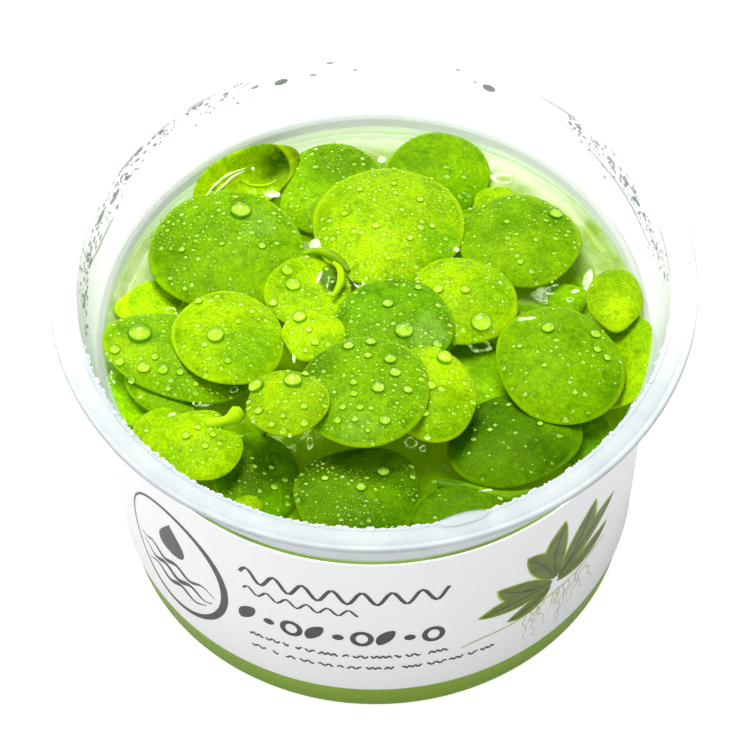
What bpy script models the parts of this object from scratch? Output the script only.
"""Amazon frogbit plantlets crowded in a round, open tissue-culture cup.

Metres, +Z up. The origin is the middle of the cup's base, and -Y is the side that is seen.
The tables and the driving dimensions are in millimetres, and MM turns them into metres.
"""
import math

import bmesh
import bpy
from mathutils import Matrix, Vector
from mathutils.bvhtree import BVHTree

MM = 0.001

# Cup: a thin moulded tub with a wide flange, a collar that the lid snaps over, and a step below it
CUP_HEIGHT = 56.5
FLANGE_RADIUS = 47.5
FLANGE_THICKNESS = 0.9
COLLAR_TOP_RADIUS = 44.1
COLLAR_FOOT_RADIUS = 41.8
STEP_HEIGHT = 45.1
STEP_RISE = 0.6
BODY_TOP_RADIUS = 40.95
BASE_RADIUS = 39.3
WALL = 0.8
FLOOR_HEIGHT = 1.6
FOOT_RING_WIDTH = 2.4
FOOT_RING_DEPTH = 0.8
FOOT_RING_DRAFT = 0.4
CORNER_RADIUS = 1.2
LIP_CHAMFER = 0.3
TURN_STEPS = 48

# Label: a paper band round the body, clear of the wall by the gap that all neighbours keep
GAP = 0.35
LABEL_BOTTOM = 6.9
LABEL_TOP = 43.4
LABEL_THICKNESS = 0.25

# Growth medium: a soft clear gel with a socket for each rootstock
MEDIUM_TOP = 41.0
SOCKET_RADIUS = 2.5
SOCKET_TAPER = 0.8
SOCKET_DEPTH = 27.0
SOCKET_OVERRUN = 1.0
SOCKET_SIDES = 8

# Rootstocks: a small bulb at the surface, with a tuft of roots hanging below it
BULB_RADIUS = 1.6
BULB_HEIGHT = 41.6
BULB_SEGMENTS = 8
BULB_RINGS = 5
ROOT_LENGTH = 24.0
ROOT_LENGTH_VARIES = 0.2
ROOT_SHARES = (0.35, 0.65)
ROOT_TAPER = 0.55
ROOT_SWAY = 0.25
ROOTS_BELOW = -0.3
ROOTSTOCKS = {
    "back_left": (-15.2, 27.4),
    "back_far_left": (-28.0, 20.5),
    "back_right": (14.5, 21.4),
    "right": (22.5, 4.0),
    "centre": (-3.5, 10.0),
    "left": (-27.9, 5.6),
    "far_left": (-36.0, -5.6),
    "inner_left": (-14.2, -8.6),
    "front_left": (-19.5, -15.2),
    "front_far_left": (-23.8, -10.8),
    "rim_left": (-27.5, -24.5),
    "front": (8.5, -26.4),
    "front_right": (21.5, -15.0),
}

# Leaves
LEAF_SEGMENTS = 16
LEAF_RINGS = 6
LEAF_THICKNESS = 1.0
LEAF_CLEARANCE = 0.4
# The sphere's rings, from the pole to the rim, land at these shares of the blade's radius
RING_SPREADS = (0.56, 0.93, 1.0)
SHOULDER_LIFT = 0.8
PETIOLE_RADIUS = 0.65
PETIOLE_STEPS = 3
# The stalk's section, as shares of its radius: its depth, and its width along the top and bottom
PETIOLE_DEPTH = 0.85
PETIOLE_CREST = 0.6
# The stalk's bend: how flat it comes into the bulb, and how far its two handles reach
BULB_APPROACH = 0.4
LEAD_OF_RUN, LEAD_OF_REACH = 0.35, 0.1
END_OF_REACH = 0.3
CELL = 1.0

GREENS = {
    "lime": (0.44, 0.80, 0.005),
    "mid": (0.20, 0.52, 0.004),
    "dark": (0.07, 0.26, 0.003),
}

# One row a leaf, from the lowest to the highest: the rootstock that it grows from, its colour,
# where its middle lies (x, y), its size across and along, the way that its tip points,
# how far its tip and its left side rise, how far its rim droops, the radius that it is curled to
# about its length (0 is flat), how deep its notch is, and how far its stalk holds it up.
LEAVES = (
    # name, rootstock, green, x, y, across, along, heading, tip, side, droop, curl, notch, raised
    ("rolled_front", "front", "lime", 17.2, -30.0, 7.0, 11.0, -22, 0, 0, 0.0, 2.0, 0.05, 0),
    ("under_left_a", "front_far_left", "mid", -30.7, -11.4, 8.6, 9.2, 186, -2, 6, 0.5, 0, 0.14, 0),
    ("under_left_b", "far_left", "mid", -33.2, -13.0, 7.6, 8.6, -68, -4, -4, 0.5, 0, 0.14, 0),
    ("rim_front_a", "front", "dark", 5.0, -33.0, 10.0, 9.0, -118, 0, 0, 0.5, 0, 0.14, 0),
    ("rim_front_b", "front", "mid", 12.2, -33.8, 7.6, 8.0, -62, 0, 0, 0.5, 0, 0.14, 0),
    ("under_centre", "right", "mid", 14.5, -7.4, 12.0, 13.0, -128, 0, 0, 0.6, 0, 0.14, 0),
    ("under_right", "front_right", "dark", 29.0, -18.2, 11.0, 11.0, -22, 0, 0, 0.6, 0, 0.14, 0),
    ("small_right", "right", "dark", 28.9, 7.9, 5.2, 5.2, 26, 4, 0, 0.4, 0, 0.14, 0),
    ("back_behind", "back_left", "dark", -5.6, 27.3, 15.5, 14.4, -1, 2, 6, 0.8, 0, 0.14, 0),
    ("back_small", "back_right", "lime", 19.2, 24.6, 7.6, 7.0, 36, 8, 0, 0.4, 0, 0.14, 0),
    ("back_far", "back_right", "dark", 10.0, 30.9, 15.0, 14.4, 117, 6, 0, 1.0, 0, 0.14, 0),
    ("left_tip", "left", "lime", -34.6, 6.0, 9.4, 8.8, 182, 4, 0, 0.4, 0, 0.14, 0),
    ("front_dark", "front_left", "dark", -17.6, -25.2, 12.8, 15.0, -82, -4, -6, 1.0, 0, 0.14, 0),
    ("rim_front_left", "rim_left", "lime", -18.6, -33.0, 4.2, 4.2, -33, 2, 0, 0.3, 0, 0.14, 2.4),
    ("back_curl", "back_far_left", "mid", -19.2, 29.5, 9.6, 17.0, 36, 2, 26, 0.0, 8.0, 0.14, 0),
    ("left_drops", "left", "mid", -29.0, -5.0, 20.6, 14.6, -98, 2, -6, 1.0, 0, 0.14, 0),
    ("wall_right", "right", "lime", 36.4, -8.4, 15.4, 6.2, -8, 46, 0, 0.3, 0, 0.14, 0.8),
    ("front_wide", "front", "dark", -2.6, -29.6, 15.4, 18.4, -168, 2, -4, 1.0, 0, 0.14, 0),
    ("front_right", "front", "dark", 20.6, -21.0, 17.0, 20.0, 26, 0, -3, 1.4, 0, 0.14, 0),
    ("back_right", "back_right", "mid", 23.0, 16.2, 18.0, 17.0, -32, 2, 0, 1.2, 0, 0.14, 0),
    ("back_left", "back_left", "mid", -22.0, 14.8, 22.6, 21.0, -118, -2, 0, 1.4, 0, 0.14, 0.3),
    ("back_bright", "back_right", "lime", 2.9, 18.9, 23.0, 22.8, -162, 0, 0, 1.4, 0, 0.14, 0),
    ("front_edge_left", "rim_left", "lime", -31.4, -19.0, 7.6, 7.0, 126, -4, 0, 0.5, 0, 0.14, 0),
    ("right_tall", "right", "lime", 35.3, 3.2, 10.8, 9.0, 4, 20, 0, 0.5, 0, 0.14, 1.1),
    ("right_inner", "right", "lime", 13.8, 4.4, 16.0, 15.6, 180, 0, 0, 1.2, 0, 0.14, 0),
    ("centre_dark", "centre", "dark", 2.8, -1.8, 17.6, 17.4, -56, 0, 0, 1.2, 0, 0.14, 0),
    ("front_crescent", "front", "lime", 8.2, -15.2, 14.0, 17.0, 90, 0, 0, 1.4, 0, 0.14, 0),
    ("right_wide", "right", "mid", 27.9, -8.4, 18.4, 21.0, -67, -2, 0, 1.6, 0, 0.14, 0),
    ("centre_curl", "centre", "lime", -9.8, 5.6, 12.6, 12.6, 215, 0, 0, 0.0, 12.0, 0.4, 0),
    ("left_lime", "left", "lime", -21.6, -3.2, 15.6, 17.4, -56, 0, 0, 1.2, 0, 0.14, 0),
    ("front_notched", "front_left", "lime", -25.8, -22.0, 12.0, 12.0, -136, 0, 0, 0.8, 0, 0.34, 0),
    ("front_drops", "inner_left", "dark", -1.5, -16.0, 19.8, 19.4, -24, 3, 0, 1.6, 0, 0.14, 0),
    ("centre_small", "inner_left", "lime", -8.9, -4.2, 9.6, 9.2, 44, 0, 0, 0.6, 0, 0.0, 0),
    ("inner_lime", "front_left", "lime", -12.7, -18.0, 11.4, 12.0, -20, 6, 0, 0.8, 0, 0.2, 0),
)


def start_clean():
    """Remove what the scene holds and return the collection for the parts and the one for cutters."""
    for old in list(bpy.data.objects):
        bpy.data.objects.remove(old, do_unlink=True)
    made = []
    for name in ("amazon_frogbit_cup", "cutters"):
        collection = bpy.data.collections.new(name)
        bpy.context.scene.collection.children.link(collection)
        made.append(collection)
    return made


def paint(obj, colour, roughness, transmission=0.0):
    """Give an object its own plain material."""
    material = bpy.data.materials.new(obj.name + "_material")
    material.use_nodes = True
    shader = material.node_tree.nodes["Principled BSDF"]
    shader.inputs["Base Color"].default_value = (*colour, 1.0)
    shader.inputs["Roughness"].default_value = roughness
    shader.inputs["Metallic"].default_value = 0.0
    shader.inputs["Transmission Weight"].default_value = transmission
    obj.data.materials.append(material)


def add_object(name, bm, collection):
    """Make an object of a finished bmesh, shaded smooth where its faces nearly meet."""
    mesh = bpy.data.meshes.new(name)
    bm.to_mesh(mesh)
    bm.free()
    mesh.shade_smooth()
    mesh.set_sharp_from_angle(angle=math.radians(40))
    obj = bpy.data.objects.new(name, mesh)
    collection.objects.link(obj)
    return obj


def turned(name, profile, collection, closed=False):
    """Turn a profile of (radius, height) points, which runs down its outer side, about Z."""
    bm = bmesh.new()
    points = [bm.verts.new((radius * MM, 0.0, height * MM)) for radius, height in profile]
    for first, second in zip(points, points[1:]):
        bm.edges.new((first, second))
    if closed:
        bm.edges.new((points[-1], points[0]))
    obj = add_object(name, bm, collection)
    screw = obj.modifiers.new("turn", "SCREW")
    screw.steps = screw.render_steps = TURN_STEPS
    screw.use_merge_vertices = True
    screw.merge_threshold = 0.01 * MM
    return obj


def body_radius(height):
    """Outer radius of the tapered body at a height."""
    return BASE_RADIUS + (BODY_TOP_RADIUS - BASE_RADIUS) * height / (STEP_HEIGHT - STEP_RISE)


def rounded(centre_radius, centre_height, radius, start, end, steps):
    """Points of an arc in the profile's plane, from one angle to another in degrees."""
    points = []
    for step in range(steps + 1):
        angle = math.radians(start + (end - start) * step / steps)
        points.append((centre_radius + radius * math.cos(angle),
                       centre_height + radius * math.sin(angle)))
    return points


def make_cup(collection):
    """The tub: floor, tapered wall, step, collar, rounded mouth and flat flange in one moulding."""
    mouth_radius = COLLAR_TOP_RADIUS - WALL
    flange_bottom = CUP_HEIGHT - FLANGE_THICKNESS
    inner_foot = body_radius(FLOOR_HEIGHT + CORNER_RADIUS) - WALL
    ring_inner = BASE_RADIUS - CORNER_RADIUS - FOOT_RING_WIDTH
    profile = [(0.0, FLOOR_HEIGHT)]
    profile += rounded(inner_foot - CORNER_RADIUS, FLOOR_HEIGHT + CORNER_RADIUS, CORNER_RADIUS, -90, 0, 2)
    profile += [
        (body_radius(STEP_HEIGHT) - WALL, STEP_HEIGHT - STEP_RISE + WALL / 2),
        (COLLAR_FOOT_RADIUS - WALL, STEP_HEIGHT + WALL / 2),
    ]
    profile += rounded(mouth_radius + FLANGE_THICKNESS, flange_bottom, FLANGE_THICKNESS, 180, 90, 2)
    profile += [
        (FLANGE_RADIUS - LIP_CHAMFER, CUP_HEIGHT),
        (FLANGE_RADIUS, CUP_HEIGHT - LIP_CHAMFER),
        (FLANGE_RADIUS, flange_bottom),
        (COLLAR_TOP_RADIUS, flange_bottom),
        (COLLAR_FOOT_RADIUS, STEP_HEIGHT),
        (BODY_TOP_RADIUS, STEP_HEIGHT - STEP_RISE),
    ]
    profile += rounded(body_radius(CORNER_RADIUS) - CORNER_RADIUS, CORNER_RADIUS, CORNER_RADIUS, 0, -90, 2)
    profile += [(ring_inner, 0.0), (ring_inner - FOOT_RING_DRAFT, FOOT_RING_DEPTH), (0.0, FOOT_RING_DEPTH)]
    cup = turned("cup", profile, collection)
    paint(cup, (0.86, 0.90, 0.88), 0.25, 0.8)


def make_label(collection):
    """The paper band, which follows the body's taper."""
    bottom = body_radius(LABEL_BOTTOM) + GAP
    top = body_radius(LABEL_TOP) + GAP
    profile = [
        (top + LABEL_THICKNESS, LABEL_TOP),
        (bottom + LABEL_THICKNESS, LABEL_BOTTOM),
        (bottom, LABEL_BOTTOM),
        (top, LABEL_TOP),
    ]
    label = turned("label_sleeve", profile, collection, closed=True)
    paint(label, (0.88, 0.89, 0.88), 0.6)


def make_medium(collection, cutters):
    """The gel that fills the cup up to the leaves, with a tapered socket for each rootstock."""
    floor = FLOOR_HEIGHT + GAP
    corner = CORNER_RADIUS + GAP
    profile = [
        (0.0, MEDIUM_TOP),
        (body_radius(MEDIUM_TOP) - WALL - GAP, MEDIUM_TOP),
        (body_radius(floor + corner) - WALL - GAP, floor + corner),
        (body_radius(floor) - WALL - GAP - corner, floor),
        (0.0, floor),
    ]
    medium = turned("growth_medium", profile, collection)
    for name, (x, y) in ROOTSTOCKS.items():
        bm = bmesh.new()
        bmesh.ops.create_cone(bm, cap_ends=True, segments=SOCKET_SIDES, depth=SOCKET_DEPTH * MM,
                              radius1=SOCKET_RADIUS * SOCKET_TAPER * MM, radius2=SOCKET_RADIUS * MM)
        middle = MEDIUM_TOP + SOCKET_OVERRUN - SOCKET_DEPTH / 2
        bmesh.ops.translate(bm, verts=bm.verts, vec=(x * MM, y * MM, middle * MM))
        cutter = add_object("socket_" + name, bm, cutters)
        cutter.hide_render = True
        cutter.display_type = "WIRE"
        cut = medium.modifiers.new("socket_" + name, "BOOLEAN")
        cut.operation = "DIFFERENCE"
        cut.object = cutter
    paint(medium, (0.50, 0.75, 0.30), 0.1, 0.9)


def rootstock_mesh(x, y):
    """A bulb with every second face of its lower side drawn down into a tapering root."""
    bm = bmesh.new()
    bmesh.ops.create_uvsphere(bm, u_segments=BULB_SEGMENTS, v_segments=BULB_RINGS, radius=BULB_RADIUS * MM)
    underside = [face for face in bm.faces if face.calc_center_median().z < ROOTS_BELOW * BULB_RADIUS * MM]
    underside = [face for face in underside if len(face.verts) == 4][::2]
    for number, face in enumerate(underside):
        turn = 2.0 * math.pi * number / len(underside)
        length = ROOT_LENGTH * (1.0 - ROOT_LENGTH_VARIES * (1.0 - math.cos(2.0 * turn)))
        for step, share in enumerate(ROOT_SHARES):
            face = bmesh.ops.extrude_discrete_faces(bm, faces=[face])["faces"][0]
            sway = Vector((math.cos(turn + step), math.sin(turn + step), 0.0)) * ROOT_SWAY * MM
            sway.z = -length * share * MM
            bmesh.ops.translate(bm, verts=face.verts, vec=sway)
            middle = face.calc_center_median()
            for vert in face.verts:
                vert.co = middle + (vert.co - middle) * ROOT_TAPER
    bmesh.ops.translate(bm, verts=bm.verts, vec=(x * MM, y * MM, BULB_HEIGHT * MM))
    return bm


def blade_mesh(across, along, droop, curl, notch):
    """A round blade on its own axes: tip at +X, notch at -X, left side at +Y, middle at the origin.

    The sphere's rings become a flat lens with a rounded rim, the two columns of points beside -X
    are drawn in to make the notch, the rim droops, and a curled blade is bent about its length.
    """
    bm = bmesh.new()
    bmesh.ops.create_uvsphere(bm, u_segments=LEAF_SEGMENTS, v_segments=LEAF_RINGS, radius=1.0)
    half_turn = math.pi / LEAF_SEGMENTS
    bmesh.ops.rotate(bm, verts=bm.verts, matrix=Matrix.Rotation(half_turn, 3, "Z"))
    base = [face for face in bm.faces
            if face.calc_center_median().x < -0.8 and abs(face.calc_center_median().y) < 0.1
            and abs(face.calc_center_median().z) < 0.45]
    for vert in bm.verts:
        level = vert.co.z
        ring = math.hypot(vert.co.x, vert.co.y)
        turn = math.atan2(vert.co.y, vert.co.x)
        number = round(ring * LEAF_RINGS) // 2 - 1 if ring < 0.9 else 2
        spread = 0.0 if ring < 0.1 else RING_SPREADS[number]
        shoulder = SHOULDER_LIFT if number == 1 else 1.0
        lift = 0.0 if abs(level) < 0.1 else math.copysign(shoulder, level)
        if abs(abs(turn) - math.pi) < 1.5 * half_turn:
            spread *= 1.0 - notch * spread
        side = spread * math.sin(turn) * across / 2
        length = spread * math.cos(turn) * along / 2
        height = lift * LEAF_THICKNESS / 2 - droop * spread ** 2
        if curl:
            bend = side / curl
            side = (curl - height) * math.sin(bend)
            height = curl - (curl - height) * math.cos(bend)
        vert.co = Vector((length, side, height)) * MM
    return bm, base


def surface_heights(bm, upper):
    """Height of a mesh's upper or lower surface over each cell of the plan that it covers."""
    tree = BVHTree.FromBMesh(bm)
    low = [min(vert.co[axis] for vert in bm.verts) / MM for axis in (0, 1)]
    high = [max(vert.co[axis] for vert in bm.verts) / MM for axis in (0, 1)]
    start, way = (1.0, -1.0) if upper else (-1.0, 1.0)
    heights = {}
    for column in range(math.floor(low[0] / CELL), math.ceil(high[0] / CELL) + 1):
        for row in range(math.floor(low[1] / CELL), math.ceil(high[1] / CELL) + 1):
            origin = Vector((column * CELL * MM, row * CELL * MM, start))
            hit = tree.ray_cast(origin, Vector((0.0, 0.0, way)))[0]
            if hit is not None:
                heights[column, row] = hit.z / MM
    return heights


def settle(bm, ceiling, raised):
    """Lift a blade until it clears the medium and all that already lies under it."""
    lower = surface_heights(bm, upper=False)
    lift = max(ceiling.get(cell, MEDIUM_TOP) + LEAF_CLEARANCE - height for cell, height in lower.items())
    bmesh.ops.translate(bm, verts=bm.verts, vec=(0.0, 0.0, (lift + raised) * MM))


def raise_ceiling(bm, ceiling):
    """Note the upper surface of a placed piece, for those that come above it."""
    for cell, height in surface_heights(bm, upper=True).items():
        ceiling[cell] = max(ceiling.get(cell, MEDIUM_TOP), height)


def add_petiole(bm, base, middle, up, bulb):
    """Draw the two rim faces at the notch out into a stalk that bends down to the rootstock."""
    ring = list(dict.fromkeys(vert for face in base for vert in face.verts))
    start = sum((vert.co for vert in ring), Vector()) / len(ring)
    outward = (start - middle).normalized()
    away = start - bulb
    run = math.hypot(away.x, away.y)
    away.z *= BULB_APPROACH
    away.normalize()
    end = bulb + away * (BULB_RADIUS + GAP) * MM
    reach = (end - start).length
    lead = start + outward * (LEAD_OF_RUN * run + LEAD_OF_REACH * reach)
    lead.z = max(lead.z, (MEDIUM_TOP + 2 * PETIOLE_RADIUS) * MM)
    handles = (start, lead, end + away * reach * END_OF_REACH, end)
    side = outward.cross(up).normalized()
    corners = {}
    for vert in ring:
        offset = vert.co - start
        level = offset.dot(up) / (LEAF_THICKNESS / 2 * MM)
        corners[vert.co.to_tuple(7)] = (math.copysign(1.0, offset.dot(side)),
                                        0.0 if abs(level) < 0.4 else math.copysign(1.0, level))
    point = start
    for step in range(1, PETIOLE_STEPS + 1):
        share = step / PETIOLE_STEPS
        weights = ((1 - share) ** 3, 3 * share * (1 - share) ** 2, 3 * share ** 2 * (1 - share), share ** 3)
        target = sum((handle * weight for handle, weight in zip(handles, weights)), Vector())
        way = (target - point).normalized()
        up = (up - way * up.dot(way)).normalized()
        side = way.cross(up)
        made = bmesh.ops.extrude_face_region(bm, geom=base)["geom"]
        bmesh.ops.delete(bm, geom=base, context="FACES")
        base = [item for item in made if isinstance(item, bmesh.types.BMFace)]
        moved = {}
        for vert in {vert for face in base for vert in face.verts}:
            across, level = corners[vert.co.to_tuple(7)]
            width = PETIOLE_RADIUS * MM * (1.0 if level == 0.0 else PETIOLE_CREST)
            vert.co = target + side * across * width + up * level * PETIOLE_RADIUS * PETIOLE_DEPTH * MM
            moved[vert.co.to_tuple(7)] = (across, level)
        corners = moved
        point = target


def make_leaves(collection, ceiling):
    """Lay the leaves on the medium one after another, and grow each one's stalk."""
    for row in LEAVES:
        name, rootstock, green, x, y, across, along, heading, tip, side, droop, curl, notch, raised = row
        bm, base = blade_mesh(across, along, droop, curl, notch)
        turn = (Matrix.Rotation(math.radians(heading), 4, "Z")
                @ Matrix.Rotation(math.radians(-tip), 4, "Y")
                @ Matrix.Rotation(math.radians(side), 4, "X"))
        bm.transform(Matrix.Translation((x * MM, y * MM, 0.0)) @ turn)
        settle(bm, ceiling, raised)
        height = sum(vert.co.z for vert in bm.verts) / len(bm.verts)
        root_x, root_y = ROOTSTOCKS[rootstock]
        bulb = Vector((root_x, root_y, BULB_HEIGHT)) * MM
        add_petiole(bm, base, Vector((x * MM, y * MM, height)), turn.to_3x3() @ Vector((0, 0, 1)), bulb)
        bmesh.ops.recalc_face_normals(bm, faces=bm.faces)
        raise_ceiling(bm, ceiling)
        leaf = add_object("leaf_" + name, bm, collection)
        paint(leaf, GREENS[green], 0.35)


def make_rootstocks(collection, ceiling):
    """One bulb with its roots for each plantlet."""
    for name, (x, y) in ROOTSTOCKS.items():
        bm = rootstock_mesh(x, y)
        raise_ceiling(bm, ceiling)
        rootstock = add_object("rootstock_" + name, bm, collection)
        paint(rootstock, (0.45, 0.62, 0.10), 0.5)


def main():
    """Build the cup, its label, the medium, the rootstocks and the leaves."""
    parts, cutters = start_clean()
    ceiling = {}
    make_cup(parts)
    make_label(parts)
    make_medium(parts, cutters)
    make_rootstocks(parts, ceiling)
    make_leaves(parts, ceiling)


main()
